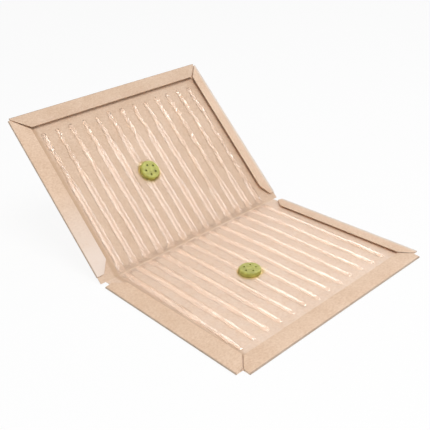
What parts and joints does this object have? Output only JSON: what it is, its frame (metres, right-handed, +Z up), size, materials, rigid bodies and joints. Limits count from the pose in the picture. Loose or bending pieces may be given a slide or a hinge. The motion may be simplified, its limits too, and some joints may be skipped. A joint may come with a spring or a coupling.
{
  "type": "pheromone insect trap",
  "caption": "Book-fold sticky insect trap of kraft card: two hinged leaves with turned-in flaps, clear glue beads and a perforated lure button on each leaf.",
  "frame": {"origin": "centre of the base leaf's underside", "axes": "+X along the crease, +Y from the base leaf's front fold to the crease, +Z up"},
  "size_m": [0.2114, 0.2738, 0.1155],
  "materials": {
    "card": "uncoated kraft with fine fibres",
    "glue": "clear, wet-looking tacky glue",
    "lure": "matte lime green moulding",
    "pad": "amber felt, soaked with pheromone"
  },
  "bodies": {
    "base": {"base_panel": "card", "base_glue_strip": "glue", "base_bead_1": "glue", "base_bead_2": "glue", "base_bead_3": "glue", "base_bead_4": "glue", "base_bead_5": "glue", "base_bead_6": "glue", "base_bead_7": "glue", "base_bead_8": "glue", "base_bead_9": "glue", "base_bead_10": "glue", "base_bead_11": "glue", "base_bead_12": "glue", "base_bead_13": "glue", "base_lure_cup": "lure", "base_lure_cap": "lure", "base_lure_pad": "pad"},
    "lid": {"lid_panel": "card", "lid_glue_strip": "glue", "lid_bead_1": "glue", "lid_bead_2": "glue", "lid_bead_3": "glue", "lid_bead_4": "glue", "lid_bead_5": "glue", "lid_bead_6": "glue", "lid_bead_7": "glue", "lid_bead_8": "glue", "lid_bead_9": "glue", "lid_bead_10": "glue", "lid_bead_11": "glue", "lid_bead_12": "glue", "lid_bead_13": "glue", "lid_lure_cup": "lure", "lid_lure_cap": "lure", "lid_lure_pad": "pad"},
    "base_left_flap": {"base_left_flap": "card"},
    "base_right_flap": {"base_right_flap": "card"},
    "base_front_flap": {"base_front_flap": "card"},
    "lid_left_flap": {"lid_left_flap": "card"},
    "lid_right_flap": {"lid_right_flap": "card"},
    "lid_top_flap": {"lid_top_flap": "card"}
  },
  "joints": [
    {"name": "lid_fold", "type": "hinge", "parent": "base", "child": "lid", "pos_m": [0, 0.08, 0.0008], "axis": [-1, 0, 0], "range_deg": [-89.6, 45.4]},
    {"name": "base_left_fold", "type": "hinge", "parent": "base", "child": "base_left_flap", "pos_m": [-0.105, 0, 0.0008], "axis": [0, -1, 0], "range_deg": [-8, 170]},
    {"name": "base_right_fold", "type": "hinge", "parent": "base", "child": "base_right_flap", "pos_m": [0.105, 0, 0.0008], "axis": [0, 1, 0], "range_deg": [-6.5, 171.5]},
    {"name": "base_front_fold", "type": "hinge", "parent": "base", "child": "base_front_flap", "pos_m": [0, -0.08, 0.0008], "axis": [1, 0, 0], "range_deg": [-4, 174]},
    {"name": "lid_left_fold", "type": "hinge", "parent": "lid", "child": "lid_left_flap", "pos_m": [-0.105, 0.08, 0.0008], "axis": [0, -0.7022, -0.712], "range_deg": [-1, 177]},
    {"name": "lid_right_fold", "type": "hinge", "parent": "lid", "child": "lid_right_flap", "pos_m": [0.105, 0.08, 0.0008], "axis": [0, 0.7022, 0.712], "range_deg": [-13, 165]},
    {"name": "lid_top_fold", "type": "hinge", "parent": "lid", "child": "lid_top_flap", "pos_m": [0, 0.19234, 0.11472], "axis": [-1, 0, 0], "range_deg": [-11, 167]}
  ]
}
